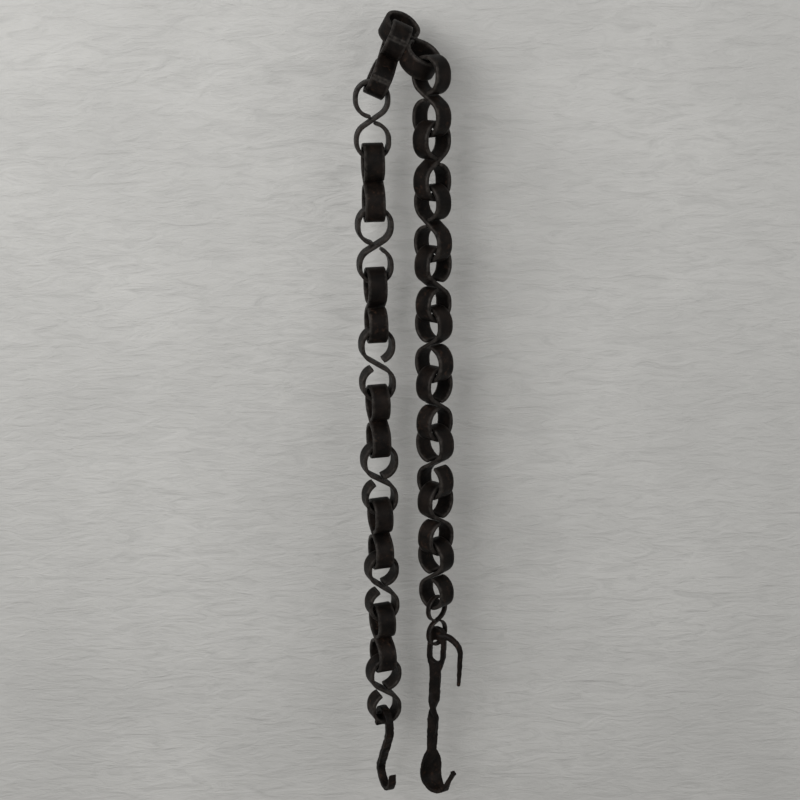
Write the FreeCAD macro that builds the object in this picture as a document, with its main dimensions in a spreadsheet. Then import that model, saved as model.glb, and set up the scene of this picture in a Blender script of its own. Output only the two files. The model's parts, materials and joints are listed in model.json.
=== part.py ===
import FreeCAD, Part
import math
import os

import Sketcher
from FreeCAD import Placement, Rotation, Vector

# A chain trammel of black forged iron, hung doubled over a wall hook.
# Twenty-two S links of flat strap lie one in another, each a quarter turn from the next.
# The left strand ends in a pot hook, the right strand in a thin link and an adjusting bar.
# The frame: X right, Y into the wall, Z up, origin at the middle of the hanging eye.

doc = FreeCAD.newDocument("PotTrammel")
sheet = doc.addObject("Spreadsheet::Sheet", "Sizes")

# Driving sizes, in millimetres and degrees
DRIVING_SIZES = [
    ("strap_width", 20.5, "width of the forged strap, along the eye's axis"),
    ("strap_thick", 4.2, "thickness of the strap"),
    ("plain_bore", 28.8, "bore of an ordinary eye"),
    ("wide_bore", 30.4, "bore of the eyes bent a little wider"),
    ("close_bore", 27.0, "bore of the eyes bent a little closer"),
    ("eye_spacing", 44.3, "from eye centre to eye centre of one link"),
    ("fold_spacing", 41.5, "from eye centre to eye centre of the first left link"),
    ("end_gap", 1.5, "gap between a strap's cut end and its own waist"),
    ("seat_clearance", 0.3, "gap where one loop lies in another"),
    ("peak_turn", 40.9, "turn of the peak link about the vertical"),
    ("peak_lean", 48.6, "lean of the peak link towards the room"),
    ("fold_turn", 96.0, "turn of the first left link about the vertical"),
    ("fold_lean", -25.0, "lean of the first left link, out to the left"),
    ("left_turn", 6.0, "turn of the left strand below the fold"),
    ("left_twist", 1.6, "further turn of each next left link"),
    ("right_turn", 45.0, "turn of the right strand's links, to one side and the other"),
    ("thin_width", 6.5, "width of the connecting link's strap"),
    ("thin_thick", 2.8, "thickness of the connecting link's strap"),
    ("thin_bore", 23.6, "bore of the connecting link's eyes"),
    ("thin_spacing", 29.5, "from eye centre to eye centre of the connecting link"),
    ("hook_width", 9.0, "width of the pot hook's bar"),
    ("hook_thick", 6.5, "thickness of the pot hook's bar at its eye"),
    ("hook_root", 7.4, "thickness of the pot hook where its bend starts"),
    ("hook_tip", 4.4, "thickness of the pot hook where its bend ends"),
    ("hook_eye_bore", 24.6, "bore of the pot hook's open eye"),
    ("hook_leg", 13.0, "length of the open eye's short leg below the eye's centre"),
    ("hook_neck", 9.0, "length of the open eye's long side below the eye's centre"),
    ("hook_drop", 63.0, "from the pot hook's eye to the centre of its bend"),
    ("hook_reach", 12.0, "how far the bend's centre lies out from the eye's centre"),
    ("hook_bend", 28.6, "clear width inside the pot hook's bend"),
    ("hook_rise", 10.0, "rise of the pot hook's tip above the centre of its bend"),
    ("bar_turn", -25.0, "turn of the adjusting bar about the vertical"),
    ("bar_thick", 6.0, "thickness of the adjusting bar"),
    ("bar_eye_width", 21.5, "width over the adjusting bar's eye"),
    ("bar_slot", 11.0, "width of the slot in the adjusting bar's eye"),
    ("bar_slot_drop", 16.0, "from the centre of the slot's top round to that of its bottom round"),
    ("bar_crown", 15.0, "iron over the slot"),
    ("bar_cheek", 6.0, "where the eye starts to taper, above the slot's foot"),
    ("bar_root", 12.0, "where the eye has tapered to the shank, below the slot's foot"),
    ("shank_width", 12.5, "width of the adjusting bar's shank"),
    ("shank_foot", 133.0, "from the slot's top round to the foot of the shank"),
    ("twist_start", 26.0, "length of flat shank above the half twist"),
    ("twist_length", 34.0, "length of the half twist"),
    ("scoop_width", 28.0, "width of the broad bottom hook"),
    ("scoop_thick", 4.0, "thickness of the broad bottom hook"),
    ("scoop_turn", 58.0, "turn of the bottom hook from the bar's face"),
    ("scoop_depth", 42.0, "from the foot of the shank to the lowest point of the bottom hook"),
    ("scoop_bend", 15.8, "radius of the bottom hook's bend, at the middle of its iron"),
    ("tail_rise", 62.0, "rise of the tail from the level"),
    ("tail_thick", 5.8, "thickness of the bottom hook's round tail"),
    ("tail_reach", 44.0, "how far the tail's end lies out from the shank"),
    ("catch_thick", 8.0, "thickness of the catch hook at its root"),
    ("catch_tip", 4.6, "thickness of the catch hook at its tip"),
    ("catch_reach", 28.5, "how far the catch hook stands out from the bar"),
    ("catch_shoulder", 19.0, "radius of the catch hook's shoulder"),
    ("catch_sweep", 115.0, "angle that the catch hook's shoulder turns through"),
    ("catch_lift", 5.5, "height of the catch hook's shoulder over the slot"),
    ("catch_drop", 45.0, "how far the catch hook's tip lies under the slot's top round"),
]
for row, (alias, value, note) in enumerate(DRIVING_SIZES, start=1):
    sheet.set("A%d" % row, note)
    sheet.set("B%d" % row, str(value))
    sheet.setAlias("B%d" % row, alias)
doc.recompute()
size = {alias: float(sheet.get(alias)) for alias, value, note in DRIVING_SIZES}

# Left strand below the peak link: bores of the upper and the lower eye, and the side on which the
# strap's upper cut end lies, seen along the eye's axis
PLAIN, WIDE, CLOSE = "plain_bore", "wide_bore", "close_bore"
LEFT, RIGHT = -1, 1
PEAK_LINK = (PLAIN, PLAIN, RIGHT)
LEFT_LINKS = [
    (PLAIN, PLAIN, LEFT),
    (PLAIN, PLAIN, LEFT),
    (PLAIN, PLAIN, LEFT),
    (WIDE, PLAIN, LEFT),
    (PLAIN, PLAIN, RIGHT),
    (PLAIN, PLAIN, RIGHT),
    (PLAIN, PLAIN, LEFT),
    (WIDE, PLAIN, RIGHT),
    (PLAIN, PLAIN, LEFT),
    (CLOSE, CLOSE, RIGHT),
    (PLAIN, PLAIN, LEFT),
    (PLAIN, CLOSE, RIGHT),
]
RIGHT_LINKS = [
    (PLAIN, PLAIN, RIGHT),
    (PLAIN, PLAIN, LEFT),
    (CLOSE, PLAIN, RIGHT),
    (PLAIN, CLOSE, RIGHT),
    (PLAIN, WIDE, LEFT),
    (PLAIN, PLAIN, RIGHT),
    (WIDE, PLAIN, LEFT),
    (PLAIN, PLAIN, RIGHT),
    (PLAIN, CLOSE, LEFT),
]


def polar(radius, degrees):
    """The point of a circle about the origin, at an angle from the sketch's X axis."""
    return Vector(radius * math.cos(math.radians(degrees)), radius * math.sin(math.radians(degrees)), 0)


def arc(centre, radius, start, end):
    """An arc that runs anticlockwise from start to end, in degrees."""
    circle = Part.Circle(centre, Vector(0, 0, 1), radius)
    return Part.ArcOfCircle(circle, math.radians(start), math.radians(end))


def new_body(name):
    """An empty body whose label is the piece's name."""
    body = doc.addObject("PartDesign::Body", name)
    body.Label = name
    return body


def new_sketch(body, name, plane="XZ_Plane", offset=None):
    """A sketch on one of the body's own origin planes."""
    sketch = body.newObject("Sketcher::SketchObject", name)
    origin_plane = [f for f in body.Origin.OriginFeatures if f.Role == plane][0]
    sketch.AttachmentSupport = [(origin_plane, "")]
    sketch.MapMode = "FlatFace"
    if offset is not None:
        sketch.AttachmentOffset = offset
    return sketch


def bind(sketch, constraint, name, expression):
    """Adds a constraint under a name and ties its value to the sheet."""
    index = sketch.addConstraint(constraint)
    sketch.renameConstraint(index, name)
    sketch.setExpression("Constraints." + name, expression)


def pad(body, sketch, name, length):
    """Pads a sketch to both sides of its plane."""
    feature = body.newObject("PartDesign::Pad", name)
    feature.Profile = sketch
    feature.SideType = "Symmetric"
    feature.setExpression("Length", length)
    return feature


def closed_outline(sketch, edges):
    """Adds edges that run end to end, and joins each to the next."""
    first = sketch.addGeometry(edges[0][0], False)
    ids = [first] + [sketch.addGeometry(edge, False) for edge, start, end in edges[1:]]
    for here, (edge, start, end) in enumerate(edges):
        after = (here + 1) % len(edges)
        sketch.addConstraint(Sketcher.Constraint("Coincident", ids[here], end, ids[after], edges[after][1]))
    return ids


# The S link: a strap bent into two round eyes, joined by a straight crossing waist. Each inner
# face is tangent to one eye's bore, each outer face to the other eye's outside.
def s_link(name, upper, lower, side, spacing="eye_spacing", thick="strap_thick", width="strap_width"):
    r_up, r_low = size[upper] / 2, size[lower] / 2
    t, c, gap = size[thick], size[spacing], size["end_gap"]
    slope = math.degrees(math.asin((r_up + r_low + t) / c))
    up_stop = math.degrees(math.acos((r_up - gap) / (r_up + t)))
    low_stop = math.degrees(math.acos((r_low - gap) / (r_low + t)))
    top, foot = Vector(0, 0, 0), Vector(0, -c, 0)

    def face(degrees):
        return degrees if side == LEFT else 180 - degrees

    def eye_arc(centre, radius, start, end):
        return arc(centre, radius, *sorted((face(start), face(end))))

    up_in, up_out = polar(r_up, face(-slope)), polar(r_up + t, face(-slope))
    low_in = foot + polar(r_low, face(180 - slope))
    low_out = foot + polar(r_low + t, face(180 - slope))
    up_end, low_end = 360 - slope - up_stop, 540 - slope - low_stop
    up_end_in, up_end_out = polar(r_up, face(up_end)), polar(r_up + t, face(up_end))
    low_end_in = foot + polar(r_low, face(low_end))
    low_end_out = foot + polar(r_low + t, face(low_end))

    body = new_body(name)
    sketch = new_sketch(body, name + "_outline")
    geometry = [
        eye_arc(top, r_up, -slope, up_end),
        Part.LineSegment(up_in, low_out),
        eye_arc(foot, r_low + t, 180 - slope, low_end),
        Part.LineSegment(low_end_out, low_end_in),
        eye_arc(foot, r_low, 180 - slope, low_end),
        Part.LineSegment(low_in, up_out),
        eye_arc(top, r_up + t, -slope, up_end),
        Part.LineSegment(up_end_out, up_end_in),
    ]
    bore_up, near, round_low, cut_low, bore_low, far, round_up, cut_up = range(8)
    sketch.addGeometry(geometry, False)
    spoke_up = sketch.addGeometry(Part.LineSegment(top, up_end_out), True)
    spoke_low = sketch.addGeometry(Part.LineSegment(foot, low_end_out), True)

    # An arc's first point is its anticlockwise start, which changes ends with the hand
    waist_end, cut_end = (1, 2) if side == LEFT else (2, 1)
    origin_point, y_axis = (-1, 1), -2
    for constraint in [
        ("Coincident", bore_up, 3) + origin_point,
        ("Coincident", round_up, 3) + origin_point,
        ("Coincident", bore_low, 3, round_low, 3),
        ("PointOnObject", bore_low, 3, y_axis),
        ("Tangent", bore_up, waist_end, near, 1),
        ("Tangent", near, 2, round_low, waist_end),
        ("Coincident", round_low, cut_end, cut_low, 1),
        ("Coincident", cut_low, 2, bore_low, cut_end),
        ("Tangent", bore_low, waist_end, far, 1),
        ("Tangent", far, 2, round_up, waist_end),
        ("Coincident", round_up, cut_end, cut_up, 1),
        ("Coincident", cut_up, 2, bore_up, cut_end),
        ("Coincident", spoke_up, 1) + origin_point,
        ("Coincident", spoke_up, 2, cut_up, 1),
        ("PointOnObject", cut_up, 2, spoke_up),
        ("Coincident", spoke_low, 1, bore_low, 3),
        ("Coincident", spoke_low, 2, cut_low, 1),
        ("PointOnObject", cut_low, 2, spoke_low),
    ]:
        sketch.addConstraint(Sketcher.Constraint(*constraint))
    bind(sketch, Sketcher.Constraint("Radius", bore_up, r_up), "upper_bore", "Sizes.%s / 2" % upper)
    bind(sketch, Sketcher.Constraint("Radius", bore_low, r_low), "lower_bore", "Sizes.%s / 2" % lower)
    bind(
        sketch, Sketcher.Constraint("Radius", round_up, r_up + t), "upper_round",
        "Sizes.%s / 2 + Sizes.%s" % (upper, thick),
    )
    bind(
        sketch, Sketcher.Constraint("Radius", round_low, r_low + t), "lower_round",
        "Sizes.%s / 2 + Sizes.%s" % (lower, thick),
    )
    bind(sketch, Sketcher.Constraint("DistanceY", bore_low, 3, -1, 1, c), "spacing", "Sizes." + spacing)
    bind(sketch, Sketcher.Constraint("Distance", cut_up, 1, near, gap), "upper_gap", "Sizes.end_gap")
    bind(sketch, Sketcher.Constraint("Distance", cut_low, 1, far, gap), "lower_gap", "Sizes.end_gap")
    pad(body, sketch, name + "_strap", "Sizes." + width)
    return body


# How the pieces hang: each one's own frame is turned about the vertical, then leans along its axis
def hanging_rotation(turn, lean=0.0):
    return Rotation(Vector(0, 0, 1), turn).multiply(Rotation(Vector(1, 0, 0), -lean))


def eye_axis(rotation):
    return rotation.multVec(Vector(0, -1, 0))


def seat(centre, axis, bore, strap, rotation, own_bore, own_strap, down):
    """Where the next eye's centre lies, so that its strap rests in the eye above.

    The two straps cross, and touch at the four corners of their crossing, so the distance
    follows from both bores and both strap widths. A crossing that isn't square brings the
    corners further out.
    """
    own_axis = eye_axis(rotation)
    across = axis.cross(own_axis).normalize()
    if across.dot(down) < 0:
        across = -across
    skew = abs(axis.dot(own_axis))
    spread = (1 + skew) / math.sqrt(1 - skew * skew)
    above = math.sqrt((bore / 2) ** 2 - (spread * own_strap / 2) ** 2)
    below = math.sqrt((own_bore / 2) ** 2 - (spread * strap / 2) ** 2)
    return centre + across * (above + below - size["seat_clearance"])


class Hung:
    """A piece in its place: its upper eye's centre, its rotation and its lower eye."""

    def __init__(self, body, at, rotation, lower_bore=None, spacing=None, strap=None):
        body.Placement = Placement(at, rotation)
        self.body, self.at, self.rotation = body, at, rotation
        self.axis = eye_axis(rotation)
        if spacing is not None:
            self.down = rotation.multVec(Vector(0, 0, -1))
            self.lower = at + self.down * size[spacing]
            self.bore, self.strap = size[lower_bore], size[strap]

    def next_eye(self, rotation, own_bore, own_strap):
        return seat(
            self.lower, self.axis, self.bore, self.strap,
            rotation, size[own_bore], size[own_strap], self.down,
        )


def hang_link(name, above, link, rotation, at=None, spacing="eye_spacing"):
    upper, lower, side = link
    if at is None:
        at = above.next_eye(rotation, upper, "strap_width")
    return Hung(s_link(name, upper, lower, side, spacing), at, rotation, lower, spacing, "strap_width")


# Peak link: its upper eye goes over the wall hook and also holds the first left link
peak_rotation = hanging_rotation(size["peak_turn"], size["peak_lean"])
peak = hang_link("peak_link", None, PEAK_LINK, peak_rotation, Vector(0, 0, 0))

# Left strand: the first link leans out from the fold, the rest hang under it
fold_rotation = hanging_rotation(size["fold_turn"], size["fold_lean"])
first_bore = LEFT_LINKS[0][0]
fold_eye = seat(
    peak.at, peak.axis, size[PEAK_LINK[0]], size["strap_width"],
    fold_rotation, size[first_bore], size["strap_width"], Vector(0, 0, -1),
)
above = hang_link("left_link_01", None, LEFT_LINKS[0], fold_rotation, fold_eye, "fold_spacing")
for number, link in enumerate(LEFT_LINKS[1:], start=2):
    quarter = 0 if number % 2 == 0 else 90
    turn = size["left_turn"] + quarter + size["left_twist"] * (number - 2)
    above = hang_link("left_link_%02d" % number, above, link, hanging_rotation(turn))
left_foot = above

# Right strand: the links face half left and half right by turns
above = peak
for number, link in enumerate(RIGHT_LINKS, start=1):
    turn = size["right_turn"] * (-1 if number % 2 else 1)
    above = hang_link("right_link_%02d" % number, above, link, hanging_rotation(turn))
right_foot = above


# Connecting link: a small S link of thin narrow strap
thin_turn = size["right_turn"] * (-1 if len(RIGHT_LINKS) % 2 == 0 else 1)
thin_rotation = hanging_rotation(thin_turn)
thin = Hung(
    s_link("connecting_link", "thin_bore", "thin_bore", LEFT, "thin_spacing", "thin_thick", "thin_width"),
    right_foot.next_eye(thin_rotation, "thin_bore", "thin_width"),
    thin_rotation, "thin_bore", "thin_spacing", "thin_width",
)


# Pot hook: a flat bar bent over at the top into an open eye with a short leg, and at the foot
# into a hook that tapers to its tip
def pot_hook():
    body = new_body("pot_hook")
    sketch = new_sketch(body, "pot_hook_outline")
    r, t = size["hook_eye_bore"] / 2, size["hook_thick"]
    leg, drop, reach = size["hook_leg"], size["hook_drop"], size["hook_reach"]
    inner = size["hook_bend"] / 2
    neck, root, tip = size["hook_neck"], size["hook_root"], size["hook_tip"]
    outer = inner + (root + tip) / 2
    shift = (root - tip) / 2
    centre = Vector(reach, -drop, 0)
    back = Vector(reach - shift, -drop, 0)
    point = size["hook_rise"] - drop

    def at(x, z):
        return Vector(x, z, 0)

    def line(a, b):
        return (Part.LineSegment(a, b), 1, 2)

    edges = [
        line(at(-r - t, -leg), at(-r - t, 0)),
        (arc(at(0, 0), r + t, 0, 180), 2, 1),
        line(at(r + t, 0), at(r + t, -neck)),
        line(at(r + t, -neck), at(reach - inner, -drop)),
        (arc(centre, inner, 180, 360), 1, 2),
        line(at(reach + inner, -drop), at(reach + inner + tip / 2, point)),
        line(at(reach + inner + tip / 2, point), at(reach + inner + tip * 3 / 4, point)),
        line(at(reach + inner + tip * 3 / 4, point), back + at(outer, 0)),
        (arc(back, outer, 180, 360), 2, 1),
        line(back - at(outer, 0), at(r, -neck)),
        line(at(r, -neck), at(r, 0)),
        (arc(at(0, 0), r, 0, 180), 1, 2),
        line(at(-r, 0), at(-r, -leg)),
        line(at(-r, -leg), at(-r - t, -leg)),
    ]
    ids = closed_outline(sketch, edges)
    eye_round, bend_in, bend_out, eye_in = ids[1], ids[4], ids[8], ids[11]
    for arc_id in (eye_round, eye_in):
        sketch.addConstraint(Sketcher.Constraint("Coincident", arc_id, 3, -1, 1))
    bind(sketch, Sketcher.Constraint("Radius", eye_in, r), "eye_bore", "Sizes.hook_eye_bore / 2")
    bind(
        sketch, Sketcher.Constraint("Radius", eye_round, r + t), "eye_round",
        "Sizes.hook_eye_bore / 2 + Sizes.hook_thick",
    )
    bind(sketch, Sketcher.Constraint("Radius", bend_in, inner), "bend_inside", "Sizes.hook_bend / 2")
    bind(sketch, Sketcher.Constraint("DistanceY", bend_in, 3, -1, 1, drop), "drop", "Sizes.hook_drop")
    bind(sketch, Sketcher.Constraint("DistanceX", -1, 1, bend_in, 3, reach), "reach", "Sizes.hook_reach")
    pad(body, sketch, "pot_hook_bar", "Sizes.hook_width")
    return body


# Sections of a drawn-out bar: a rectangle or a round, square to the bar's run
def section_offset(at, tangent, width_direction):
    z_axis = Vector(tangent).normalize()
    x_axis = Vector(width_direction).normalize()
    return Placement(at, Rotation(x_axis, z_axis.cross(x_axis), z_axis, "ZXY"))


def flat_section(body, name, offset, width, thick, wide, deep):
    sketch = new_sketch(body, name, "XY_Plane", offset)
    corners = [(-1, -1), (1, -1), (1, 1), (-1, 1)]
    points = [Vector(x * wide / 2, y * deep / 2, 0) for x, y in corners]
    edges = [(Part.LineSegment(points[i], points[(i + 1) % 4]), 1, 2) for i in range(4)]
    bottom, right, top, left = closed_outline(sketch, edges)
    for side in (bottom, top):
        sketch.addConstraint(Sketcher.Constraint("Horizontal", side))
    for side in (left, right):
        sketch.addConstraint(Sketcher.Constraint("Vertical", side))
    sketch.addConstraint(Sketcher.Constraint("Symmetric", bottom, 1, top, 1, -1, 1))
    bind(sketch, Sketcher.Constraint("DistanceX", bottom, 1, bottom, 2, wide), "width", width)
    bind(sketch, Sketcher.Constraint("DistanceY", right, 1, right, 2, deep), "thickness", thick)
    return sketch


def round_section(body, name, offset, diameter, expression):
    sketch = new_sketch(body, name, "XY_Plane", offset)
    circle = sketch.addGeometry(Part.Circle(Vector(0, 0, 0), Vector(0, 0, 1), diameter / 2), False)
    sketch.addConstraint(Sketcher.Constraint("Coincident", circle, 3, -1, 1))
    bind(sketch, Sketcher.Constraint("Diameter", circle, diameter), "diameter", expression)
    return sketch


def loft(body, name, sections):
    feature = body.newObject("PartDesign::AdditiveLoft", name)
    feature.Profile = sections[0]
    feature.Sections = sections[1:]
    feature.Ruled = False
    feature.Closed = False
    return feature


def pipe(body, name, spine, sections):
    feature = body.newObject("PartDesign::AdditivePipe", name)
    feature.Profile = sections[0]
    feature.Spine = spine
    feature.Sections = sections[1:]
    feature.Transformation = "Multisection"
    feature.Mode = "Standard"
    return feature


# Adjusting bar: a flat bar with a slotted eye, a catch hook drawn out of its crown, a shank with
# a half twist, and a broad bottom hook that ends in a round tail
def adjusting_bar():
    body = new_body("adjusting_bar")
    half, slot = size["bar_eye_width"] / 2, size["bar_slot"] / 2
    slot_drop, crown = size["bar_slot_drop"], size["bar_crown"]
    shank = size["shank_width"] / 2
    brow = slot + crown - half
    throat = slot_drop + slot - size["bar_cheek"]
    root = slot_drop + slot + size["bar_root"]

    def line(x0, z0, x1, z1):
        return (Part.LineSegment(Vector(x0, z0, 0), Vector(x1, z1, 0)), 1, 2)

    eye = new_sketch(body, "bar_eye")
    outline = closed_outline(
        eye,
        [
            (arc(Vector(0, brow, 0), half, 0, 180), 1, 2),
            line(-half, brow, -half, -throat),
            line(-half, -throat, -shank, -root),
            line(-shank, -root, shank, -root),
            line(shank, -root, half, -throat),
            line(half, -throat, half, brow),
        ],
    )
    slot_edges = closed_outline(
        eye,
        [
            (arc(Vector(0, 0, 0), slot, 0, 180), 1, 2),
            line(-slot, 0, -slot, -slot_drop),
            (arc(Vector(0, -slot_drop, 0), slot, 180, 360), 1, 2),
            line(slot, -slot_drop, slot, 0),
        ],
    )
    bind(eye, Sketcher.Constraint("Radius", outline[0], half), "eye_round", "Sizes.bar_eye_width / 2")
    bind(eye, Sketcher.Constraint("Radius", slot_edges[0], slot), "slot_round", "Sizes.bar_slot / 2")
    pad(body, eye, "bar_plate", "Sizes.bar_thick")

    # Catch hook: out of the crown, over to one side and down, thinner towards its tip
    reach, drop = size["catch_reach"], size["catch_drop"]
    shoulder = size["catch_shoulder"]
    spring = slot + size["catch_lift"] - shoulder
    sweep = size["catch_sweep"]
    spine = new_sketch(body, "catch_spine")
    spine.addGeometry(
        [
            arc(Vector(reach - shoulder, spring, 0), shoulder, 0, sweep),
            Part.LineSegment(Vector(reach, spring, 0), Vector(reach, -drop, 0)),
        ],
        False,
    )
    spine.addConstraint(Sketcher.Constraint("Tangent", 0, 1, 1, 1))
    start = polar(shoulder, sweep)
    start = Vector(reach - shoulder + start.x, 0, spring + start.y)
    root_run = polar(1, sweep - 90)
    sections = [
        (start, Vector(root_run.x, 0, root_run.y), "catch_thick"),
        (Vector(reach, 0, -drop), Vector(0, 0, -1), "catch_tip"),
    ]
    rounds = []
    for number, (at, tangent, across) in enumerate(sections):
        offset = section_offset(at, tangent, Vector(0, 1, 0))
        rounds.append(round_section(body, "catch_%d" % number, offset, size[across], "Sizes." + across))
    pipe(body, "catch_hook", spine, rounds)

    # Shank: flat, a half twist, then flat again down to the bottom hook
    foot, turn = size["shank_foot"], size["scoop_turn"]

    def heading(degrees):
        return Vector(math.cos(math.radians(degrees)), math.sin(math.radians(degrees)), 0)

    def shank_section(name, z, degrees):
        offset = section_offset(Vector(0, 0, -z), Vector(0, 0, -1), heading(degrees))
        return flat_section(
            body, name, offset, "Sizes.shank_width", "Sizes.bar_thick", size["shank_width"], size["bar_thick"]
        )

    twist_from = root + size["twist_start"]
    twist_to = twist_from + size["twist_length"]
    loft(body, "upper_shank", [shank_section("upper_0", root, 0), shank_section("upper_1", twist_from, 0)])
    steps = 6
    twisted = []
    for step in range(steps + 1):
        z = twist_from + (twist_to - twist_from) * step / steps
        twisted.append(shank_section("twist_%d" % step, z, 180 * step / steps))
    loft(body, "twist", twisted)

    # Bottom hook: the bar spread broad and thin, bent up, and drawn out again to a round tail
    depth, out = size["scoop_depth"], size["tail_reach"]
    side = heading(180 + turn)
    forward = Vector(-side.y, side.x, 0)
    bend, rise = size["scoop_bend"], size["tail_rise"]
    bend_centre = foot + depth - bend
    frame = Placement(Vector(0, 0, 0), Rotation(forward, Vector(0, 0, 1), Vector(0, 0, 0), "XYZ"))
    spine = new_sketch(body, "scoop_spine", "XY_Plane", frame)
    tail_start = Vector(bend, -bend_centre, 0) + polar(bend, 270 + rise)
    tail_run = polar(1, rise)
    tail_length = (out - tail_start.x) / tail_run.x
    tail_end = tail_start + tail_run * tail_length
    spine.addGeometry(
        [
            Part.LineSegment(Vector(0, -foot, 0), Vector(0, -bend_centre, 0)),
            arc(Vector(bend, -bend_centre, 0), bend, 180, 270 + rise),
            Part.LineSegment(tail_start, tail_end),
        ],
        False,
    )
    spine.addConstraint(Sketcher.Constraint("Tangent", 0, 2, 1, 1))
    spine.addConstraint(Sketcher.Constraint("Tangent", 1, 2, 2, 1))

    def scoop_section(name, along, run, width, share, thick, deep):
        at = forward * along.x + Vector(0, 0, along.y)
        tangent = forward * run.x + Vector(0, 0, run.y)
        offset = section_offset(at, tangent, side)
        return flat_section(
            body, name, offset, "Sizes.%s * %.2f" % (width, share), "Sizes.%s * %.2f" % (thick, deep),
            size[width] * share, size[thick] * deep,
        )

    down = Vector(0, -1, 0)
    neck = scoop_section("scoop_0", Vector(0, -foot, 0), down, "shank_width", 0.9, "bar_thick", 0.9)
    loft(body, "lower_shank", [shank_section("lower_0", twist_to, 180), neck])
    pipe(
        body, "scoop", spine,
        [
            scoop_section("scoop_1", Vector(0, -foot, 0), down, "shank_width", 0.9, "bar_thick", 0.9),
            scoop_section("scoop_2", Vector(0, -bend_centre, 0), down, "scoop_width", 1.0, "scoop_thick", 1.0),
            scoop_section("scoop_3", tail_start, tail_run, "tail_thick", 1.4, "tail_thick", 0.9),
            scoop_section("scoop_4", tail_end, tail_run, "tail_thick", 1.0, "tail_thick", 1.0),
        ],
    )
    return body


def balanced(body, turn):
    """The rotation at which a hook hangs: its centre of mass straight under its eye."""
    doc.recompute()
    middle = body.Shape.Solids[0].CenterOfMass - body.Placement.Base
    lean = math.degrees(math.atan2(middle.x, -middle.z))
    return Rotation(Vector(0, 0, 1), turn).multiply(Rotation(Vector(0, 1, 0), lean))


hook_body = pot_hook()
hook_turn = size["left_turn"] + size["left_twist"] * (len(LEFT_LINKS) - 2) - 90
hook_eye = left_foot.next_eye(hanging_rotation(hook_turn), "hook_eye_bore", "hook_width")
hook = Hung(hook_body, hook_eye, balanced(hook_body, hook_turn))

bar_body = adjusting_bar()
bar_eye = thin.next_eye(hanging_rotation(size["bar_turn"]), "bar_slot", "bar_thick")
bar = Hung(bar_body, bar_eye, balanced(bar_body, size["bar_turn"]))

doc.recompute()

# Every object must have built, and every piece must be one valid solid
for thing in doc.Objects:
    if "Invalid" in thing.State or "Error" in thing.State:
        raise RuntimeError("%s did not build: %s" % (thing.Label, thing.State))
pieces = [thing for thing in doc.Objects if thing.TypeId == "PartDesign::Body"]
os.makedirs("parts", exist_ok=True)
for piece in pieces:
    if piece.Shape.isNull() or not piece.Shape.isValid() or len(piece.Shape.Solids) != 1:
        raise RuntimeError("%s is not one valid solid" % piece.Label)
    piece.Shape.exportStep("parts/%s.step" % piece.Label)
print("%d pieces" % len(pieces))
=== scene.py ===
import json
import math

import bmesh
import bpy
from bpy.props import FloatProperty, FloatVectorProperty, PointerProperty
from mathutils import Matrix, Vector, noise


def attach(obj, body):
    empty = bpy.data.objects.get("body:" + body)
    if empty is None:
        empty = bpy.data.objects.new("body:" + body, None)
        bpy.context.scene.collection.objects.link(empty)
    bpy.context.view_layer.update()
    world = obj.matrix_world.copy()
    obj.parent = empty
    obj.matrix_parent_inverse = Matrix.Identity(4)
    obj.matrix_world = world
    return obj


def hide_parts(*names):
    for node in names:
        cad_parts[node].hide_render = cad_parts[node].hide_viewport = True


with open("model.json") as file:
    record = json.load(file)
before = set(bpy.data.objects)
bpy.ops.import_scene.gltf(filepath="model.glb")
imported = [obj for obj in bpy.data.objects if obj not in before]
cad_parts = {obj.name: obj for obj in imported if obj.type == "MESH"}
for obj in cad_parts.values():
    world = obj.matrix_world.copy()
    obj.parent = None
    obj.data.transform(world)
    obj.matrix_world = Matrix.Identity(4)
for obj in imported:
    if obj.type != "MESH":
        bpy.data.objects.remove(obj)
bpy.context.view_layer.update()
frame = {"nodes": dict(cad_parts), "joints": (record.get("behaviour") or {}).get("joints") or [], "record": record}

bl_info = {
    "name": "Hearth Chain Trammel",
    "version": (1, 0, 0),
    "blender": (4, 5, 0),
    "location": "View3D > Sidebar > Trammel",
    "description": "Dresses the frame of a forged chain trammel in worn black iron",
    "category": "Add Mesh",
}

MM = 0.001

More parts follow.
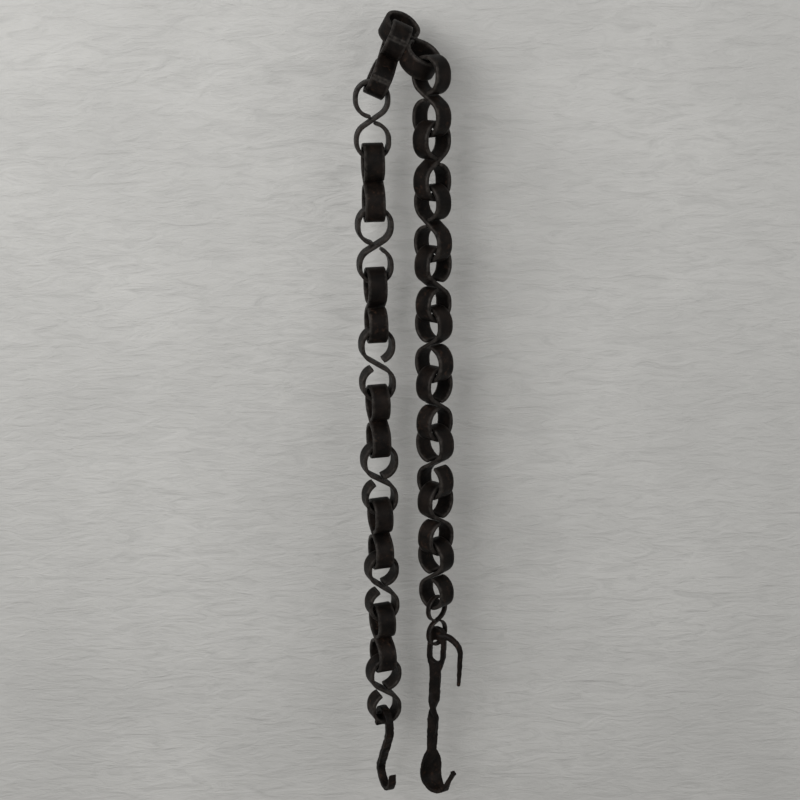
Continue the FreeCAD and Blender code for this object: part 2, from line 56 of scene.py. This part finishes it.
# How wide each link's two eyes are, which way its strap is bent, seen along its eye's axis, and
# whether the upper and the lower cut end lie on the waist or stand open.
PLAIN, WIDE, CLOSE = "plain_bore", "wide_bore", "close_bore"
LEFT, RIGHT = -1, 1
SHUT, OPEN = "end_gap", "open_gap"
S_LINKS = [
    ("peak_link", PLAIN, PLAIN, RIGHT, SHUT, SHUT),
    ("left_link_01", PLAIN, PLAIN, LEFT, SHUT, SHUT),
    ("left_link_02", PLAIN, PLAIN, LEFT, SHUT, SHUT),
    ("left_link_03", PLAIN, PLAIN, LEFT, SHUT, SHUT),
    ("left_link_04", WIDE, PLAIN, LEFT, SHUT, OPEN),
    ("left_link_05", PLAIN, PLAIN, RIGHT, SHUT, SHUT),
    ("left_link_06", PLAIN, PLAIN, RIGHT, OPEN, OPEN),
    ("left_link_07", PLAIN, PLAIN, LEFT, SHUT, SHUT),
    ("left_link_08", WIDE, PLAIN, RIGHT, SHUT, OPEN),
    ("left_link_09", PLAIN, PLAIN, LEFT, SHUT, SHUT),
    ("left_link_10", CLOSE, CLOSE, RIGHT, SHUT, OPEN),
    ("left_link_11", PLAIN, PLAIN, LEFT, SHUT, SHUT),
    ("left_link_12", PLAIN, CLOSE, RIGHT, SHUT, OPEN),
    ("right_link_01", PLAIN, PLAIN, RIGHT, SHUT, SHUT),
    ("right_link_02", PLAIN, PLAIN, LEFT, SHUT, SHUT),
    ("right_link_03", CLOSE, PLAIN, RIGHT, SHUT, SHUT),
    ("right_link_04", PLAIN, CLOSE, RIGHT, OPEN, SHUT),
    ("right_link_05", PLAIN, WIDE, LEFT, SHUT, SHUT),
    ("right_link_06", PLAIN, PLAIN, RIGHT, SHUT, SHUT),
    ("right_link_07", WIDE, PLAIN, LEFT, SHUT, OPEN),
    ("right_link_08", PLAIN, PLAIN, RIGHT, SHUT, SHUT),
    ("right_link_09", PLAIN, CLOSE, LEFT, SHUT, SHUT),
]
FOLD_LINK = "left_link_01"
BROAD_LINKS = ("peak_link", "left_link_01", "left_link_03")
# Every eye is read from this side, so that LEFT and RIGHT mean the same in each link.
FACING = Vector((1, -2, 0))

# How finely the straps and the hooks' skin are divided.
LINK_PITCH, WIRE_PITCH, SKIN_GRAIN = 1.8 * MM, 1.4 * MM, 0.8 * MM
SECTION_FLATS = 8
# How far from its end a strap is drawn down, how thin and narrow its end is then, and the
# further step at the cut itself.
DRAWN_LENGTH, CUT_LENGTH = 7 * MM, 1 * MM
END_THINNESS, END_NARROWNESS = 0.92, 0.96
CUT_THINNESS, CUT_NARROWNESS = 0.88, 0.97
# How long the waves of the wandering edges and of the small and large hammer marks are.
EDGE_WAVE, SMALL_MARK, LARGE_MARK, HOOK_MARK = 17 * MM, 6.5 * MM, 16 * MM, 7 * MM

# The Mix node's colour sockets.
MIX_A, MIX_B, MIX_RESULT = 6, 7, 2

SENSOR_WIDTH = 36
LAMP_SIDE = 1.7
KEY_PLACE, FILL_PLACE, LAMP_TARGET = (-1.1, -1.5, 0.55), (1.5, -1.3, 0.1), (0, 0, -0.4)


def length(name, description, default):
    """A size property, kept in metres and given here in millimetres."""
    return FloatProperty(
        name=name, description=description, default=default * MM, unit="LENGTH", precision=5,
    )


def fraction(name, description, default):
    """A number from none to all."""
    return FloatProperty(name=name, description=description, default=default, min=0, max=1)


def watts(name, description, default):
    return FloatProperty(name=name, description=description, default=default, unit="POWER")


def turn(name, description, degrees):
    return FloatProperty(
        name=name, description=description, default=math.radians(degrees), subtype="ANGLE",
    )


def colour(name, description, red, green, blue):
    return FloatVectorProperty(
        name=name, description=description, default=(red, green, blue, 1), size=4, subtype="COLOR",
    )


class StrapSizes(bpy.types.PropertyGroup):
    """Sizes of the flat iron that the links are bent from"""

    plain_bore: length("Plain Bore", "Bore of an ordinary eye", 28.8)
    wide_bore: length("Wide Bore", "Bore of an eye bent a little wider", 30.4)
    close_bore: length("Close Bore", "Bore of an eye bent a little closer", 27.0)
    eye_spacing: length("Eye Spacing", "From eye centre to eye centre of a link", 44.3)
    fold_spacing: length("Fold Spacing", "Eye spacing of the first left link", 41.5)
    eye_draw: length("Eye Draw", "Length of an eye's straight sides", 2.5)
    width: length("Strap Width", "Width of the strap, along the eye's axis", 20.5)
    broad_width: length("Broad Width", "Width of the broader straps at the top", 21.6)
    thickness: length("Strap Thickness", "Thickness of the strap", 4.2)
    end_gap: length("End Gap", "Gap between a cut end and the waist it is bent to", 0.15)
    open_gap: length("Open Gap", "Gap at a cut end that stands open", 3.4)
    arris: length("Arris", "Radius of the strap's worn long edges", 1.1)
    hammering: length("Hammering", "Depth of the hammer marks on the strap's faces", 0.28)
    hook_hammering: length("Hook Hammering", "Depth of the hammer marks on the hooks", 1.2)
    wander: length("Edge Wander", "How far the strap's edges wander in from straight", 0.5)
    thin_bore: length("Thin Bore", "Bore of the connecting link's eyes", 23.6)
    thin_spacing: length("Thin Spacing", "Eye spacing of the connecting link", 29.5)
    thin_draw: length("Thin Draw", "Length of the straight sides of its eyes", 0.8)
    thin_width: length("Thin Width", "Width of the connecting link's strap", 6.5)
    thin_thickness: length("Thin Thickness", "Thickness of the connecting link's strap", 2.8)


class IronFinish(bpy.types.PropertyGroup):
    """Colours of the worn black iron"""

    scale_colour: colour("Forge Scale", "Colour of the black forge scale", 0.0030, 0.0024, 0.0021)
    warm_colour: colour("Warm Scale", "Colour of the browner scale", 0.0100, 0.0070, 0.0056)
    rust_colour: colour("Rust", "Colour of the rust in the bores and pits", 0.042, 0.023, 0.015)
    # The rim colour is lighter for every arris, drawn end and end cap: partly rubbed wear, partly a painted
    # highlight along the edges.
    rim_wear_and_highlight_colour: colour("Worn Rim", "Colour of the rubbed rims and arrises", 0.046, 0.041, 0.037)
    roughness: fraction("Roughness", "Roughness of the scale", 0.50)
    shine: fraction("Shine", "How much the bare scale shines", 0.08)


class StageSetup(bpy.types.PropertyGroup):
    """Backdrop, lamps and camera"""

    wall_colour: colour("Plaster", "Colour of the plaster backdrop", 0.44, 0.435, 0.42)
    wall_distance: length("Wall Distance", "From the hanging eye back to the wall", 42)
    floor_drop: length("Floor Drop", "From the hanging eye down to the floor", 1150)
    stage_width: length("Stage Width", "Width of the wall and the floor", 4200)
    camera_distance: length("Camera Distance", "From the hanging eye's plane to the camera", 1500)
    camera_side: length("Camera Side", "How far the camera stands to the right", -4.8)
    camera_height: length("Camera Height", "Height of the camera over the hanging eye", 28.9)
    camera_tilt: turn("Camera Tilt", "How far the camera looks down", 15.56)
    camera_roll: turn("Camera Roll", "Roll of the camera", 0.95)
    camera_lens: FloatProperty(
        name="Camera Lens", description="Focal length of the camera", default=64.54, unit="CAMERA",
    )
    key_power: watts("Key Power", "Power of the soft key lamp", 44)
    fill_power: watts("Fill Power", "Power of the soft fill lamp", 14)
    sky: fraction("Sky", "Strength of the even light from all round", 0.24)


def piece_axis(node):
    """The eye centre that a piece hangs by, and the eye's axis turned to the facing side."""
    for joint in frame["joints"]:
        if joint["child"] == node:
            at, axis = Vector(joint["pos_m"]), Vector(joint["axis"])
            break
    else:
        mount = next(m for m in frame["record"]["mounts"] if m["name"] == "hanging_eye")
        at, axis = Vector(mount["pos_m"]), Vector(mount["axis"])
    return at, axis if axis.dot(FACING) > 0 else -axis


def hanging_frame(node):
    """The frame of a hanging link: X across, -Y along its eye's axis, Z up its length."""
    at, axis = piece_axis(node)
    y = -axis.normalized()
    up = Vector((0, 0, 1))
    z = (up - y * up.dot(y)).normalized()
    x = y.cross(z)
    turned = Matrix((x, y, z)).transposed().to_4x4()
    return Matrix.Translation(at) @ turned


def s_run(upper, lower, spacing, draw, thick, up_gap, low_gap, hand, pitch):
    """Points along the middle of a bent S strap, each with the strap's outward normal."""
    r_up, r_low = upper / 2, lower / 2
    slope = math.asin((r_up + r_low + thick) / (spacing - 2 * draw))
    up_stop = math.acos((r_up - up_gap) / (r_up + thick))
    low_stop = math.acos((r_low - low_gap) / (r_low + thick))
    mid_up, mid_low = r_up + thick / 2, r_low + thick / 2
    top, foot = Vector((0, 0, 0)), Vector((0, 0, -spacing))
    under_top, over_foot = Vector((0, 0, -draw)), Vector((0, 0, draw - spacing))
    half = math.pi

    def spoke(angle):
        return Vector((math.cos(angle), 0, math.sin(angle)))

    run = []

    def bend(centre, radius, start, end, out):
        steps = max(2, round(abs(end - start) * radius / pitch))
        for i in range(0 if not run else 1, steps + 1):
            n = spoke(start + (end - start) * i / steps)
            run.append((centre + n * radius, n * out))

    def straight(target):
        start, n = run[-1]
        steps = max(1, round((target - start).length / pitch))
        for i in range(1, steps + 1):
            run.append((start.lerp(target, i / steps), n))

    bend(under_top, mid_up, 2 * half - slope - up_stop, half, 1)
    straight(top + spoke(half) * mid_up)
    bend(top, mid_up, half, 0, 1)
    straight(under_top + spoke(0) * mid_up)
    bend(under_top, mid_up, 0, -slope, 1)
    straight(over_foot - spoke(-slope) * mid_low)
    bend(over_foot, mid_low, half - slope, half, -1)
    straight(foot + spoke(half) * mid_low)
    bend(foot, mid_low, half, 2 * half, -1)
    straight(over_foot + spoke(0) * mid_low)
    bend(over_foot, mid_low, 2 * half, 3 * half - slope - low_stop, -1)
    if hand == RIGHT:
        flip = Vector((-1, 1, 1))
        run = [(p * flip, n * flip) for p, n in run]
    return run


def strap_section(width, thick, arris, flats):
    """Points round a flat bar's section with rounded arrises: along the width, through the
    thickness, and how much of an arris each point is."""
    w, t = width / 2, thick / 2
    arris = min(arris, t * 0.9)
    points = []
    for sign_w, sign_t, first in ((1, 1, 0), (-1, 1, 90), (-1, -1, 180), (1, -1, 270)):
        cw, ct = sign_w * (w - arris), sign_t * (t - arris)
        for step in range(4):
            angle = math.radians(first + 30 * step)
            points.append((cw + arris * math.cos(angle), ct + arris * math.sin(angle), 1.0))
        if first in (0, 180):
            for i in range(1, flats):
                share = i / flats
                along = cw * (1 - 2 * share)
                edge = max(0.0, abs(1 - 2 * share) * 1.6 - 0.9)
                points.append((along, sign_t * t, edge))
        else:
            points.append((sign_w * w, 0.0, 1.0))
    return points


def smooth_step(x):
    x = min(max(x, 0.0), 1.0)
    return x * x * (3 - 2 * x)


def forge_strap(name, run, width, thick, arris, hammering, wander, seed):
    """Sweeps a strap along a run of points. The hammer marks, the wandering edges and the drawn
    ends only ever take iron away, so the strap stays within its true size."""
    mesh = bpy.data.meshes.new(name)
    bm = bmesh.new()
    # The rim layer marks the arrises, the drawn ends and the end caps. The iron paints these lighter and more
    # metallic: partly rubbed wear, partly a painted highlight.
    rim_wear_and_highlight = bm.verts.layers.float.new("rim_wear_and_highlight")
    bore = bm.verts.layers.float.new("bore")
    section = strap_section(width, thick, arris, SECTION_FLATS)
    shift = Vector((seed * 3.7, seed * 1.3, seed * 0.7))
    along, travelled = [0.0], 0.0
    for (p, _), (q, _) in zip(run, run[1:]):
        travelled += (q - p).length
        along.append(travelled)
    rings = []
    for (p, n), s in zip(run, along):
        end = min(s, travelled - s)
        drawn = smooth_step(end / DRAWN_LENGTH)
        nip = END_THINNESS + (1 - END_THINNESS) * drawn
        narrow = END_NARROWNESS + (1 - END_NARROWNESS) * drawn
        if end < CUT_LENGTH:
            nip *= CUT_THINNESS
            narrow *= CUT_NARROWNESS
        ring = []
        for w, t, edge in section:
            side = 1 if w > 0 else -1
            edge_place = Vector((s / EDGE_WAVE, side * 5, 0)) + shift
            step_in = wander * (0.5 + 0.5 * noise.noise(edge_place))
            w *= narrow * (1 - 2 * step_in / width)
            place = p + n * t + Vector((0, w, 0))
            mark = 0.5 + 0.5 * noise.noise(place / SMALL_MARK + shift)
            slow = 0.5 + 0.5 * noise.noise(place / LARGE_MARK - shift)
            cut = hammering * (0.6 * mark + 0.4 * slow)
            depth = t * nip - math.copysign(min(cut, abs(t)), t)
            vert = bm.verts.new(p + n * depth + Vector((0, w, 0)))
            vert[rim_wear_and_highlight] = edge if drawn > 0.4 else max(edge, 1 - drawn)
            vert[bore] = 1.0 if t < 0 else 0.0
            ring.append(vert)
        rings.append(ring)
    count = len(section)
    for lower, upper in zip(rings, rings[1:]):
        for i in range(count):
            j = (i + 1) % count
            bm.faces.new((lower[i], lower[j], upper[j], upper[i]))
    for ring in (rings[0], rings[-1]):
        middle = bm.verts.new(sum((v.co for v in ring), Vector()) / count)
        middle[rim_wear_and_highlight] = 0.7
        for i in range(count):
            bm.faces.new((ring[i], ring[(i + 1) % count], middle))
    bmesh.ops.recalc_face_normals(bm, faces=bm.faces)
    for face in bm.faces:
        face.smooth = True
    bm.to_mesh(mesh)
    bm.free()
    return mesh


def hang(name, mesh, matrix, node, material):
    """Puts a finished mesh in its place, on the body of the node that it stands for."""
    mesh.transform(matrix)
    piece = bpy.data.objects.new(name, mesh)
    bpy.context.scene.collection.objects.link(piece)
    piece.data.materials.append(material)
    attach(piece, node)
    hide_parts(node)


class Nodes:
    """Builds a material's nodes one after another."""

    def __init__(self, name):
        self.material = bpy.data.materials.new(name)
        self.material.use_nodes = True
        self.tree = self.material.node_tree
        self.shader = self.tree.nodes["Principled BSDF"]

    def add(self, kind, **settings):
        node = self.tree.nodes.new(kind)
        for key, value in settings.items():
            setattr(node, key, value)
        return node

    def link(self, source, target):
        self.tree.links.new(source, target)

    def texture(self, scale, detail=4, roughness=0.55, distortion=0.0, place=None):
        """Noise in the piece's own space, at so many bumps to the metre."""
        node = self.add("ShaderNodeTexNoise")
        node.inputs["Scale"].default_value = scale
        node.inputs["Detail"].default_value = detail
        node.inputs["Roughness"].default_value = roughness
        node.inputs["Distortion"].default_value = distortion
        self.link(place or self.space, node.inputs["Vector"])
        return node.outputs["Fac"]

    def stretched(self, x, y, z):
        """The piece's own space, squeezed so that a texture draws out along the small factors."""
        node = self.add("ShaderNodeMapping")
        node.inputs["Scale"].default_value = (x, y, z)
        self.link(self.space, node.inputs["Vector"])
        return node.outputs["Vector"]

    def ramp(self, source, low, high):
        """Stretches a grey between two levels over the whole range."""
        node = self.add("ShaderNodeMapRange")
        node.inputs["From Min"].default_value = low
        node.inputs["From Max"].default_value = high
        self.link(source, node.inputs["Value"])
        return node.outputs["Result"]

    def maths(self, operation, a, b):
        node = self.add("ShaderNodeMath", operation=operation)
        for socket, value in zip(node.inputs, (a, b)):
            if isinstance(value, (int, float)):
                socket.default_value = value
            else:
                self.link(value, socket)
        return node.outputs["Value"]

    def mix(self, factor, a, b):
        node = self.add("ShaderNodeMix", data_type="RGBA")
        self.link(factor, node.inputs["Factor"])
        for socket, value in ((node.inputs[MIX_A], a), (node.inputs[MIX_B], b)):
            if isinstance(value, bpy.types.NodeSocket):
                self.link(value, socket)
            else:
                socket.default_value = value
        return node.outputs[MIX_RESULT]

    def bump(self, height, strength, distance, under=None):
        node = self.add("ShaderNodeBump")
        node.inputs["Strength"].default_value = strength
        node.inputs["Distance"].default_value = distance
        self.link(height, node.inputs["Height"])
        if under is not None:
            self.link(under, node.inputs["Normal"])
        return node.outputs["Normal"]

    @property
    def space(self):
        if not hasattr(self, "place"):
            self.place = self.add("ShaderNodeTexCoord").outputs["Object"]
        return self.place


def black_iron(name, finish, rust=0.0):
    """Forge scale with warmer patches, rust in the bores, and rims painted lighter and metallic: partly rubbed
    wear, partly a painted highlight along the arrises.
    """
    made = Nodes(name)
    # The rim mask, widened by the pointiness of sharp ridges, carries a painted highlight along every arris as
    # well as rubbed wear.
    rim_wear_and_highlight = made.add("ShaderNodeAttribute", attribute_name="rim_wear_and_highlight").outputs["Fac"]
    bore = made.add("ShaderNodeAttribute", attribute_name="bore").outputs["Fac"]
    ridge = made.ramp(made.add("ShaderNodeNewGeometry").outputs["Pointiness"], 0.52, 0.60)
    rim_wear_and_highlight = made.maths("MAXIMUM", rim_wear_and_highlight, ridge)
    patches = made.ramp(made.texture(62, 5, 0.6), 0.42, 0.66)
    blotches = made.texture(190, 5, 0.65, 0.4)
    grain = made.texture(900, 3, 0.6)
    pits = made.texture(1900, 2, 0.5)

    scale = made.mix(patches, tuple(finish.scale_colour), tuple(finish.warm_colour))
    rusty = made.maths("ADD", made.maths("MULTIPLY", bore, 0.06), rust)
    rusty = made.maths("ADD", blotches, rusty)
    rusty = made.ramp(rusty, 0.62, 0.84)
    base = made.mix(rusty, scale, tuple(finish.rust_colour))
    # Painted highlight mixed with rubbed wear: the rims take the lighter rim colour where the blotches allow.
    rubbed_and_highlight = made.maths("MULTIPLY", rim_wear_and_highlight, made.ramp(blotches, 0.25, 0.80))
    rubbed_and_highlight = made.ramp(rubbed_and_highlight, 0.15, 0.9)
    base = made.mix(rubbed_and_highlight, base, tuple(finish.rim_wear_and_highlight_colour))
    made.link(base, made.shader.inputs["Base Color"])

    gloss = made.maths("MULTIPLY", made.ramp(grain, 0.3, 0.7), 0.18)
    gloss = made.maths("ADD", gloss, finish.roughness - 0.09)
    gloss = made.maths("SUBTRACT", gloss, made.maths("MULTIPLY", rubbed_and_highlight, 0.10))
    made.link(gloss, made.shader.inputs["Roughness"])
    made.shader.inputs["Specular IOR Level"].default_value = finish.shine
    # The same rim mask turns the edges metallic, which adds to the painted highlight.
    made.link(made.maths("MULTIPLY", rubbed_and_highlight, 0.6), made.shader.inputs["Metallic"])

    normal = made.bump(blotches, 0.40, 0.0007)
    normal = made.bump(grain, 0.35, 0.0003, normal)
    normal = made.bump(pits, 0.22, 0.00012, normal)
    made.link(normal, made.shader.inputs["Normal"])
    return made.material


def iron(kind):
    """One material of each kind of iron, made when it is first asked for."""
    name = "iron_" + kind
    found = bpy.data.materials.get(name)
    if found is None:
        rust = {"links": 0.0, "wire": 0.02, "hooks": 0.05}[kind]
        found = black_iron(name, bpy.context.scene.trammel_finish, rust)
    return found


class TRAMMEL_OT_forge_links(bpy.types.Operator):
    """Forge the S links of both strands from flat strap"""

    bl_idname = "trammel.forge_links"
    bl_label = "Forge the S Links"

    def execute(self, context):
        sizes = context.scene.trammel_strap
        for seed, (node, upper, lower, hand, up_end, low_end) in enumerate(S_LINKS):
            spacing = sizes.fold_spacing if node == FOLD_LINK else sizes.eye_spacing
            draw = 0 if node == FOLD_LINK else sizes.eye_draw
            width = sizes.broad_width if node in BROAD_LINKS else sizes.width
            run = s_run(
                getattr(sizes, upper), getattr(sizes, lower), spacing, draw, sizes.thickness,
                getattr(sizes, up_end), getattr(sizes, low_end), hand, LINK_PITCH,
            )
            mesh = forge_strap(
                node + "_strap", run, width, sizes.thickness, sizes.arris, sizes.hammering,
                sizes.wander, seed,
            )
            hang(node + "_strap", mesh, hanging_frame(node), node, iron("links"))
        return {"FINISHED"}


class TRAMMEL_OT_bend_connecting_link(bpy.types.Operator):
    """Bend the thin link between the right strand and the adjusting bar"""

    bl_idname = "trammel.bend_connecting_link"
    bl_label = "Bend the Connecting Link"

    def execute(self, context):
        sizes = context.scene.trammel_strap
        node = "connecting_link"
        run = s_run(
            sizes.thin_bore, sizes.thin_bore, sizes.thin_spacing, sizes.thin_draw,
            sizes.thin_thickness, sizes.end_gap, sizes.end_gap, LEFT, WIRE_PITCH,
        )
        mesh = forge_strap(
            node + "_strap", run, sizes.thin_width, sizes.thin_thickness, sizes.arris,
            sizes.hammering / 2, sizes.wander / 2, len(S_LINKS),
        )
        hang(node + "_strap", mesh, hanging_frame(node), node, iron("wire"))
        return {"FINISHED"}


def dress_node(node, kind, hammering):
    """Rounds a frame piece's arrises as forging does, hammers its faces and gives it its iron."""
    piece = frame["nodes"][node]
    piece.data.materials.clear()
    piece.data.materials.append(iron(kind))
    piece.modifiers.new("close_seams", "WELD").merge_threshold = 0.01 * MM
    skin = piece.modifiers.new("one_skin", "REMESH")
    skin.mode = "VOXEL"
    skin.voxel_size = SKIN_GRAIN
    skin.use_smooth_shade = True
    soften = piece.modifiers.new("soften", "SMOOTH")
    soften.factor = 0.5
    soften.iterations = 3
    marks = bpy.data.textures.new(node + "_marks", "CLOUDS")
    marks.noise_scale = HOOK_MARK
    hammered = piece.modifiers.new("hammered", "DISPLACE")
    hammered.texture = marks
    hammered.texture_coords = "LOCAL"
    hammered.mid_level = 0.5
    hammered.strength = -hammering


class TRAMMEL_OT_dress_pot_hook(bpy.types.Operator):
    """Give the pot hook its rounded arrises and iron"""

    bl_idname = "trammel.dress_pot_hook"
    bl_label = "Dress the Pot Hook"

    def execute(self, context):
        dress_node("pot_hook", "hooks", context.scene.trammel_strap.hook_hammering)
        return {"FINISHED"}


class TRAMMEL_OT_dress_adjusting_bar(bpy.types.Operator):
    """Give the adjusting bar its rounded arrises and iron"""

    bl_idname = "trammel.dress_adjusting_bar"
    bl_label = "Dress the Adjusting Bar"

    def execute(self, context):
        dress_node("adjusting_bar", "hooks", context.scene.trammel_strap.hook_hammering)
        return {"FINISHED"}


def plaster(name, wall_colour):
    """Trowelled plaster: faint clouds of colour over low drawn-out ridges, pocks and grit."""
    made = Nodes(name)
    drawn = made.stretched(0.45, 1, 1.6)
    clouds = made.ramp(made.texture(6, 5, 0.6), 0.3, 0.7)
    ridges = made.texture(48, 7, 0.62, 1.2, drawn)
    strokes = made.texture(150, 5, 0.6, 0.6, drawn)
    grit = made.texture(620, 4, 0.65)
    dark, low, high = ([c * part for c in wall_colour[:3]] + [1] for part in (0.90, 0.92, 1.06))
    tone = made.mix(clouds, low, high)
    stained = made.ramp(ridges, 0.30, 0.52)
    made.link(made.mix(stained, dark, tone), made.shader.inputs["Base Color"])
    made.shader.inputs["Roughness"].default_value = 0.9
    made.shader.inputs["Specular IOR Level"].default_value = 0.2
    normal = made.bump(ridges, 0.55, 0.004)
    normal = made.bump(strokes, 0.40, 0.0016, normal)
    normal = made.bump(grit, 0.35, 0.0006, normal)
    made.link(normal, made.shader.inputs["Normal"])
    return made


def one_sided(made):
    """Lets the wall be looked through from behind."""
    side = made.add("ShaderNodeNewGeometry").outputs["Backfacing"]
    clear = made.add("ShaderNodeBsdfTransparent")
    choose = made.add("ShaderNodeMixShader")
    made.link(side, choose.inputs["Fac"])
    made.link(made.shader.outputs["BSDF"], choose.inputs[1])
    made.link(clear.outputs["BSDF"], choose.inputs[2])
    made.link(choose.outputs["Shader"], made.tree.nodes["Material Output"].inputs["Surface"])
    return made


def stage_sheet(name, corners, material):
    """A flat quad of the stage, its front on the anticlockwise side."""
    mesh = bpy.data.meshes.new(name)
    mesh.from_pydata(corners, [], [(0, 1, 2, 3)])
    sheet = bpy.data.objects.new(name, mesh)
    sheet.data.materials.append(material)
    bpy.context.scene.collection.objects.link(sheet)


def soft_lamp(name, at, power):
    """A broad lamp that looks at the middle of the chain."""
    light = bpy.data.lights.new(name, "AREA")
    light.shape = "RECTANGLE"
    light.size, light.size_y, light.energy = LAMP_SIDE, LAMP_SIDE, power
    lamp = bpy.data.objects.new(name, light)
    lamp.location = at
    lamp.rotation_euler = (Vector(LAMP_TARGET) - Vector(at)).to_track_quat("-Z", "Y").to_euler()
    bpy.context.scene.collection.objects.link(lamp)


class TRAMMEL_OT_set_stage(bpy.types.Operator):
    """Set the plaster wall, the floor, the soft lamps and the camera"""

    bl_idname = "trammel.set_stage"
    bl_label = "Set the Stage"

    def execute(self, context):
        scene = context.scene
        stage = scene.trammel_stage
        half, drop, back = stage.stage_width / 2, stage.floor_drop, stage.wall_distance
        wall = one_sided(plaster("wall_plaster", stage.wall_colour)).material
        ground = plaster("floor_plaster", stage.wall_colour).material
        stage_sheet(
            "stage_wall",
            [(-half, back, -drop), (half, back, -drop), (half, back, half), (-half, back, half)],
            wall,
        )
        stage_sheet(
            "stage_floor",
            [(-half, -half, -drop), (half, -half, -drop), (half, half, -drop), (-half, half, -drop)],
            ground,
        )
        soft_lamp("key_lamp", KEY_PLACE, stage.key_power)
        soft_lamp("fill_lamp", FILL_PLACE, stage.fill_power)
        scene.world = bpy.data.worlds.new("studio")
        scene.world.use_nodes = True
        sky = scene.world.node_tree.nodes["Background"]
        sky.inputs["Color"].default_value = (1, 1, 1, 1)
        sky.inputs["Strength"].default_value = stage.sky
        scene.view_settings.view_transform = "Standard"

        camera = bpy.data.objects.new("camera", bpy.data.cameras.new("camera"))
        camera.data.sensor_width = SENSOR_WIDTH
        camera.data.lens = stage.camera_lens
        scene.collection.objects.link(camera)
        tilt, roll = stage.camera_tilt, stage.camera_roll
        ahead = Vector((0, math.cos(tilt), -math.sin(tilt)))
        upright = Vector((0, math.sin(tilt), math.cos(tilt)))
        across = Vector((1, 0, 0))
        right = across * math.cos(roll) - upright * math.sin(roll)
        top = across * math.sin(roll) + upright * math.cos(roll)
        turned = Matrix((right, top, -ahead)).transposed().to_4x4()
        at = Vector((stage.camera_side, -stage.camera_distance, stage.camera_height))
        camera.matrix_world = Matrix.Translation(at) @ turned
        scene.camera = camera
        return {"FINISHED"}


class TRAMMEL_PT_sidebar(bpy.types.Panel):
    """Sizes, finish and stage of the trammel"""

    bl_idname = "TRAMMEL_PT_sidebar"
    bl_label = "Chain Trammel"
    bl_space_type = "VIEW_3D"
    bl_region_type = "UI"
    bl_category = "Trammel"

    def draw(self, context):
        layout = self.layout
        for operator in OPERATORS:
            layout.operator(operator.bl_idname)
        for group in ("trammel_strap", "trammel_finish", "trammel_stage"):
            box = layout.box()
            settings = getattr(context.scene, group)
            for name in settings.__annotations__:
                box.prop(settings, name)


OPERATORS = (
    TRAMMEL_OT_forge_links,
    TRAMMEL_OT_bend_connecting_link,
    TRAMMEL_OT_dress_pot_hook,
    TRAMMEL_OT_dress_adjusting_bar,
    TRAMMEL_OT_set_stage,
)
CLASSES = (StrapSizes, IronFinish, StageSetup) + OPERATORS + (TRAMMEL_PT_sidebar,)


def register():
    for cls in CLASSES:
        bpy.utils.register_class(cls)
    bpy.types.Scene.trammel_strap = PointerProperty(type=StrapSizes)
    bpy.types.Scene.trammel_finish = PointerProperty(type=IronFinish)
    bpy.types.Scene.trammel_stage = PointerProperty(type=StageSetup)


def unregister():
    del bpy.types.Scene.trammel_stage
    del bpy.types.Scene.trammel_finish
    del bpy.types.Scene.trammel_strap
    for cls in reversed(CLASSES):
        bpy.utils.unregister_class(cls)


def main():
    register()
    bpy.ops.trammel.forge_links()
    bpy.ops.trammel.bend_connecting_link()
    bpy.ops.trammel.dress_pot_hook()
    bpy.ops.trammel.dress_adjusting_bar()
    bpy.ops.trammel.set_stage()


if __name__ == "__main__":
    main()
